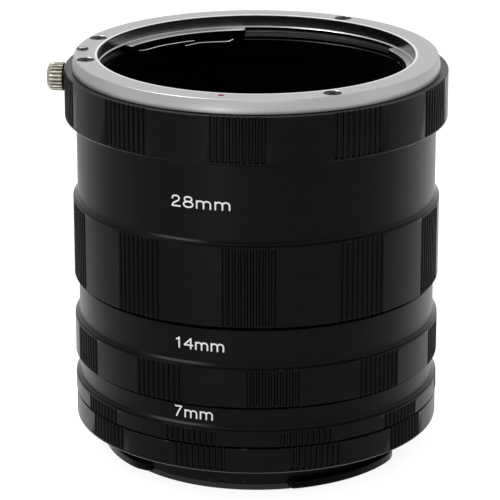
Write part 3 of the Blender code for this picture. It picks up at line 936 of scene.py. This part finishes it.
def makeLockSpring():
    # A coil spring with closed end turns.
    size = coil
    wire, turns, closed, foot = size["wire"], size["turns"], size["closed"], size["foot"]
    pitch = (size["top"] - foot - 4 * wire * closed) / (turns - 2 * closed)
    outlines = []
    count = round(turns * size["steps"])
    for i in range(count + 1):
        turn = turns * i / count
        opened = min(max(turn - closed, 0.0), turns - 2 * closed)
        level = foot + pitch * opened + 2 * wire * (turn - opened)
        outline = []
        for j in range(size["sides"]):
            swing = math.tau * j / size["sides"]
            reach, height = size["radius"] + wire * math.cos(swing), level + wire * math.sin(swing)
            outline.append((reach * math.cos(math.tau * turn), reach * math.sin(math.tau * turn), height))
        outlines.append(outline)
    shape = bmesh.new()
    addStack(shape, outlines)
    body = settle("lock_spring_fine", shape, ["springSteel"], crease=60.0)
    shift(body, around(lock["circle"], lock["angle"], housing["rise"]))
    finishPiece(body, "lens_ring", "lock_spring", worn=False)
    low, height = housing["rise"] + foot - wire, size["top"] - foot + 2 * wire
    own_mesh(body)


def makeKnob():
    size = knob
    inner, outer, radius = size["inner"], size["outer"], size["radius"]
    tip, stem, neck, stemFoot = size["tip"], size["stem"], size["neck"], lock["pinRadius"] + 0.15
    # Each point: radius, distance from the pin's centre line and how deep the flutes are there.
    profile = [
        (tip, 0.05, 0.0), (tip, stemFoot, 0.0), (stem, stemFoot, 0.0), (stem, inner - 0.15, 0.0),
        (neck, inner - 0.15, 0.0), (neck, inner, 0.0),
        (radius - 0.22, inner, 0.6), (radius - 0.06, inner + 0.07, 1.0), (radius, inner + 0.2, 1.0),
        (radius, inner + 1.2, 1.0), (radius, inner + 1.75, 1.0), (radius - 0.06, inner + 2.05, 0.9),
        (radius - 0.22, inner + 2.35, 0.6), (radius - 0.5, inner + 2.62, 0.25),
        (radius - 0.85, inner + 2.82, 0.0), (radius - 1.3, outer - 0.03, 0.0), (0.25, outer, 0.0),
    ]
    flute = size["fluteShape"]
    count = size["flutes"] * len(flute)
    shape = bmesh.new()
    dirtAndShade = shape.verts.layers.float.new("dirtAndShade")
    rings = []
    # The dirt values are painted shade on the stem and neck down in the slot and on the end face, and
    # settled grime with painted shade in the flutes.
    for reach, along, share in profile:
        least = 1.0 if along < inner + 0.03 else size["endDirt"] if share == 0.0 else 0.0
        ring = []
        for i in range(count):
            turn = math.tau * i / count
            sink = share * flute[i % len(flute)]
            far = reach - size["fluteDepth"] * sink
            vert = shape.verts.new((far * math.cos(turn), far * math.sin(turn), along))
            vert[dirtAndShade] = max(sink, least)
            ring.append(vert)
        rings.append(ring)
    capped(shape, rings)
    turn = around(1.0, lock["angle"], 0.0).to_track_quat("Z", "Y").to_matrix().to_4x4()
    spot = around(lock["circle"], lock["angle"], housing["rise"] + lock["knobHeight"])
    shape.transform(Matrix.Translation(spot) @ turn)
    finishPiece(settle("release_knob_fine", shape, ["nickel"], 42.0), "lens_lock", "release_knob")


# The leaf springs under the tabs; a run's points give the share of the strip and the height there

leaf = {
    "inner": 25.65,
    "width": 1.7,
    "thickness": 0.22,
    "spans": ((62.0, 115.0), (184.2, 238.8), (305.0, 357.0)),
    "upperRun": ((0.0, 6.98), (0.12, 6.72), (0.3, 6.8), (0.64, 6.8)),
    "lowerRun": ((0.55, 6.07), (0.69, 6.3), (0.96, 6.18), (1.0, 6.5)),
    "inset": 5.0,
    "steps": 60,
}


def makeLeaves():
    # Bowed strips: a level run under the tab, then a lower run that lifts again at the free end.
    size = leaf
    inner, outer, thick = size["inner"], size["inner"] + size["width"], size["thickness"]
    section = (
        (inner + 0.1, 0.0), (inner + 0.03, -0.03), (inner, -thick * 0.5), (inner + 0.03, 0.03 - thick),
        (inner + 0.1, -thick), (outer - 0.05, -thick), (outer, -thick * 0.5), (outer - 0.05, 0.0),
    )
    tones = (1, 0, 0, 0, 0, 1, 1, 1)  # the inner edge is bright steel, painted as a highlight line; the rest is dark oxide
    for number, span in enumerate(size["spans"], 1):
        shape = bmesh.new()
        start, sweep = span[0] + size["inset"], span[1] - span[0] - 2 * size["inset"]
        for run in (size["upperRun"], size["lowerRun"]):
            rings = []
            for (near, low), (far, high) in zip(run, run[1:]):
                steps = max(2, round((far - near) * size["steps"]))
                for i in range(steps + (far == run[-1][0])):
                    share = i / steps
                    angle = start + sweep * (1.0 - near - (far - near) * share)
                    level = low + (high - low) * share * share * (3.0 - 2.0 * share)
                    points = [around(radius, angle, level + lift) for radius, lift in section]
                    rings.append([shape.verts.new(point) for point in points])
            for near, far in zip(rings, rings[1:]):
                for i, tone in enumerate(tones):
                    shape.faces.new((near[i - 1], near[i], far[i], far[i - 1])).material_index = tone
            for end in (rings[0], rings[-1]):
                shape.faces.new(end).material_index = 1
        bmesh.ops.recalc_face_normals(shape, faces=shape.faces)
        strip = settle(f"bayonet_spring_{number}_fine", shape, ["springSteel", "blackOxide"])
        shift(strip, (0.0, 0.0, housing["rise"]))
        finishPiece(strip, "lens_ring", f"bayonet_spring_{number}", worn=False)


# The size marks: round-ended engraved strokes filled with white

letters = {
    "stroke": 0.27, "capHeight": 1.73, "smallHeight": 1.23,
    "radius": 30.72, "lift": 0.012, "layer": 0.002, "layers": 5,
}
leftArch = [(0.0, 0.72), (0.07, 0.9), (0.2, 0.99), (0.33, 0.97), (0.45, 0.85), (0.5, 0.62)]
rightArch = [(x + 0.5, y) for x, y in leftArch]
figureTwo = [(0.03, 0.72), (0.05, 0.85), (0.2, 0.97), (0.42, 1.0), (0.68, 0.98), (0.86, 0.86)]
figureTwo += [(0.89, 0.71), (0.78, 0.56), (0.55, 0.44), (0.3, 0.33), (0.1, 0.2), (0.0, 0.0)]
upperLoop = [(0.5, 1.0), (0.22, 0.95), (0.1, 0.79), (0.2, 0.61)]
upperLoop += [(0.5, 0.54), (0.8, 0.61), (0.9, 0.79), (0.78, 0.95)]
lowerLoop = [(0.5, 0.54), (0.14, 0.46), (0.0, 0.27), (0.14, 0.07)]
lowerLoop += [(0.5, 0.0), (0.86, 0.07), (1.0, 0.27), (0.86, 0.46)]
figureSeven = [(1.0, 1.0), (0.68, 0.66), (0.4, 0.33), (0.2, 0.0)]
glyphs = {
    "1": [("line", [(0.0, 0.80), (0.45, 0.84), (1.0, 1.0)]), ("line", [(1.0, 1.0), (1.0, 0.0)])],
    "2": [("curve", figureTwo), ("line", [(0.0, 0.0), (1.0, 0.0)])],
    "4": [("line", [(0.79, 0.0), (0.79, 1.0), (0.0, 0.33), (1.0, 0.33)])],
    "7": [("line", [(0.0, 1.0), (1.0, 1.0)]), ("curve", figureSeven)],
    "8": [("loop", upperLoop), ("loop", lowerLoop)],
    "m": [
        ("line", [(0.0, 0.0), (0.0, 1.0)]), ("curve", leftArch), ("line", [(0.5, 0.62), (0.5, 0.0)]),
        ("curve", rightArch), ("line", [(1.0, 0.62), (1.0, 0.0)]),
    ],
}
# Each mark: the height of its foot, and the left and right centre lines of its characters along the neck.
marks = {
    "tube_28mm": (
        51.29,
        (("2", -14.21, -12.82), ("8", -12.16, -10.57), ("m", -9.87, -7.56), ("m", -6.74, -4.39)),
    ),
    "tube_14mm": (
        26.88,
        (("1", -13.65, -13.16), ("4", -12.21, -10.76), ("m", -10.17, -8.18), ("m", -7.49, -5.47)),
    ),
    "tube_7mm": (14.69, (("7", -13.95, -12.82), ("m", -12.16, -10.12), ("m", -9.43, -7.43))),
}


def smoothPath(points, looped, steps=6):
    # A Catmull-Rom curve through the points.
    count = len(points)
    path = []
    for i in range(count if looped else count - 1):
        if looped:
            a, b, c, d = (Vector(points[(i + k) % count]) for k in (-1, 0, 1, 2))
        else:
            b, c = Vector(points[i]), Vector(points[i + 1])
            a = Vector(points[i - 1]) if i else b * 2 - c
            d = Vector(points[i + 2]) if i + 2 < count else c * 2 - b
        for s in range(steps):
            t = s / steps
            bend = (2 * a - 5 * b + 4 * c - d) * t * t + (3 * b - a - 3 * c + d) * t ** 3
            path.append(0.5 * (2 * b + (c - a) * t + bend))
    if not looped:
        path.append(Vector(points[-1]))
    return path


def strokeRibbon(shape, path, looped, width, place, capSteps=8):
    # A flat ribbon along the path, with round ends, set on the neck by place().
    half = width / 2
    count = len(path)
    pairs = []
    for i, point in enumerate(path):
        ahead = path[(i + 1) % count] if looped or i < count - 1 else point
        behind = path[i - 1] if looped or i else point
        run = (ahead - behind).normalized()
        side = Vector((-run.y, run.x)) * half
        pairs.append((shape.verts.new(place(point + side)), shape.verts.new(place(point - side)), run))
    for i in range(count if looped else count - 1):
        a, b = pairs[i], pairs[(i + 1) % count]
        shape.faces.new((a[0], a[1], b[1], b[0]))
    if looped:
        return
    for index, facing in ((0, -1.0), (count - 1, 1.0)):
        left, right, run = pairs[index]
        fan = [left]
        for k in range(1, capSteps):
            turn = math.pi * k / capSteps
            side = Vector((-run.y, run.x)) * math.cos(turn) + run * math.sin(turn) * facing
            fan.append(shape.verts.new(place(path[index] + side * half)))
        shape.faces.new(fan + [right])


def strokePaths(kind, points, steps=4):
    # A bent line gives one path for each straight stretch.
    if kind != "line":
        return [smoothPath(points, kind == "loop")]
    stretches = [(Vector(a), Vector(b)) for a, b in zip(points, points[1:])]
    return [[a + (b - a) * k / steps for k in range(steps + 1)] for a, b in stretches]


def makeMark(name):
    foot, characters = marks[name]
    neck = letters["radius"]
    shape = bmesh.new()
    layer = 0
    for letter, left, right in characters:
        height = letters["smallHeight"] if letter == "m" else letters["capHeight"]
        for kind, points in glyphs[letter]:
            sized = [(left + (right - left) * x, foot + height * y) for x, y in points]
            for path in strokePaths(kind, sized):
                # Strokes that cross lie in layers, so that they don't share a plane.
                lift = neck + letters["lift"] + letters["layer"] * (layer % letters["layers"])
                layer += 1
                place = lambda p, lift=lift: around(lift, math.degrees(p.x / neck), p.y)
                strokeRibbon(shape, path, kind == "loop", letters["stroke"], place)
    bmesh.ops.recalc_face_normals(shape, faces=shape.faces)
    for face in shape.faces:
        centre = face.calc_center_median()
        if face.normal.dot(Vector((centre.x, centre.y, 0.0))) < 0:
            face.normal_flip()
    finishPiece(settle(name + "_mark", shape, ["whiteInk"]), name, worn=False)


for tubeName in tubes:
    makeTube(tubeName)
makeCameraRing()
makeHousing()
makePlate()
makeIndexDot()
makeScrews()
makeLockPin()
makeLockSpring()
makeKnob()
makeLeaves()
for tubeName in marks:
    makeMark(tubeName)
print("all pieces made")


# Studio: floor, grey card, lamps and camera; places are in metres

studio = {"worldLight": 0.75, "floorColour": 0.3, "floorGlow": 0.88, "cardColour": 0.5, "cardGlow": 0.55}
floorCorners = ((-3, -3, 0), (3, -3, 0), (3, 3, 0), (-3, 3, 0))
cardCorners = ((-0.085, 0.22, 0.0), (-0.085, -0.005, 0.0), (-0.085, -0.005, 0.12), (-0.085, 0.22, 0.12))
lampAim = (0.0, 0.0, 0.035)
# Each lamp: where it stands, its width and height, and its radiance.
lamps = {
    "rightSoftbox": ((0.75, -0.1, 0.25), (0.5, 0.6), 0.3),
    "topSoftbox": ((-0.1, 0.3, 0.85), (0.6, 0.6), 0.9),
    "frontSoftbox": ((0.1, -0.9, 0.75), (0.5, 0.4), 2.4),
    "cornerSoftbox": ((-0.48, -0.1, 0.78), (0.36, 0.4), 6.0),
    "lowStrip": ((-0.11, -0.26, 0.02), (0.06, 0.08), 5.0),
}
# The camera's focal length and aim are in millimetres, its distance in metres.
shot = {"focal": 205.88, "distance": 0.49631, "elevation": 18.217, "aimX": 0.499, "aimZ": 34.539}


def seen(tree):
    # 1 for camera, glossy and transmission rays, 0 for the rays that only light things.
    path = tree.nodes.new("ShaderNodeLightPath")
    either = maths(tree, "MAXIMUM", path.outputs["Is Camera Ray"], path.outputs["Is Glossy Ray"])
    return maths(tree, "MAXIMUM", either, path.outputs["Is Transmission Ray"])


def makeWorld():
    # A plain light all round, which shows as white where it is seen.
    world = bpy.data.worlds.new("studio")
    bpy.context.scene.world = world
    world.use_nodes = True
    tree = world.node_tree
    tree.nodes.clear()
    out = tree.nodes.new("ShaderNodeOutputWorld")
    mix = tree.nodes.new("ShaderNodeMixShader")
    tree.links.new(seen(tree), mix.inputs[0])
    for slot, strength in ((1, studio["worldLight"]), (2, 1.0)):
        glow = tree.nodes.new("ShaderNodeBackground")
        glow.inputs["Color"].default_value = (1.0, 1.0, 1.0, 1.0)
        glow.inputs["Strength"].default_value = strength
        tree.links.new(glow.outputs[0], mix.inputs[slot])
    tree.links.new(mix.outputs[0], out.inputs["Surface"])


def makePaper(name, corners, shade, glow):
    # A sheet of card: a diffuse colour, with its own glow for the rays that see it.
    mesh = bpy.data.meshes.new(name)
    mesh.from_pydata(corners, [], [(0, 1, 2, 3)])
    sheet = addObject(name, mesh)
    material = bpy.data.materials.new(name + "Paper")
    material.use_nodes = True
    tree = material.node_tree
    tree.nodes.clear()
    out = tree.nodes.new("ShaderNodeOutputMaterial")
    paper = tree.nodes.new("ShaderNodeBsdfDiffuse")
    paper.inputs["Color"].default_value = (shade, shade, shade, 1.0)
    shine = tree.nodes.new("ShaderNodeEmission")
    tree.links.new(maths(tree, "MULTIPLY", seen(tree), glow), shine.inputs["Strength"])
    both = tree.nodes.new("ShaderNodeAddShader")
    tree.links.new(paper.outputs[0], both.inputs[0])
    tree.links.new(shine.outputs[0], both.inputs[1])
    tree.links.new(both.outputs[0], out.inputs["Surface"])
    mesh.materials.append(material)
    return sheet


def makeLamp(name):
    spot, (width, height), radiance = lamps[name]
    light = bpy.data.lights.new(name, "AREA")
    light.shape = "RECTANGLE"
    light.size, light.size_y = width, height
    light.energy = radiance * math.pi * width * height
    lamp = addObject(name, light)
    lamp.visible_camera = False
    lamp.location = spot
    lamp.rotation_euler = (Vector(lampAim) - Vector(spot)).to_track_quat("-Z", "Y").to_euler()


def makeCamera():
    data = bpy.data.cameras.new("camera")
    data.sensor_width = 36.0
    data.lens = shot["focal"]
    data.clip_start, data.clip_end = 0.01, 50.0
    camera = addObject("camera", data)
    tilt = math.radians(shot["elevation"])
    aim = Vector((shot["aimX"] * mm, 0.0, shot["aimZ"] * mm))
    back = Vector((0.0, -math.cos(tilt), math.sin(tilt)))
    camera.location = aim + back * shot["distance"]
    camera.rotation_euler = (math.pi / 2 - tilt, 0.0, 0.0)
    bpy.context.scene.camera = camera


makeWorld()
makePaper("floor", floorCorners, studio["floorColour"], studio["floorGlow"])
# A grey card left of the object, which only its left limb reflects: no other view sees it.
greyCard = makePaper("greyCard", cardCorners, studio["cardColour"], studio["cardGlow"])
greyCard.visible_camera = False
greyCard.visible_shadow = False
greyCard.visible_diffuse = False
for lampName in lamps:
    makeLamp(lampName)
makeCamera()
bpy.context.scene.view_settings.view_transform = "Standard"
print("studio ready")
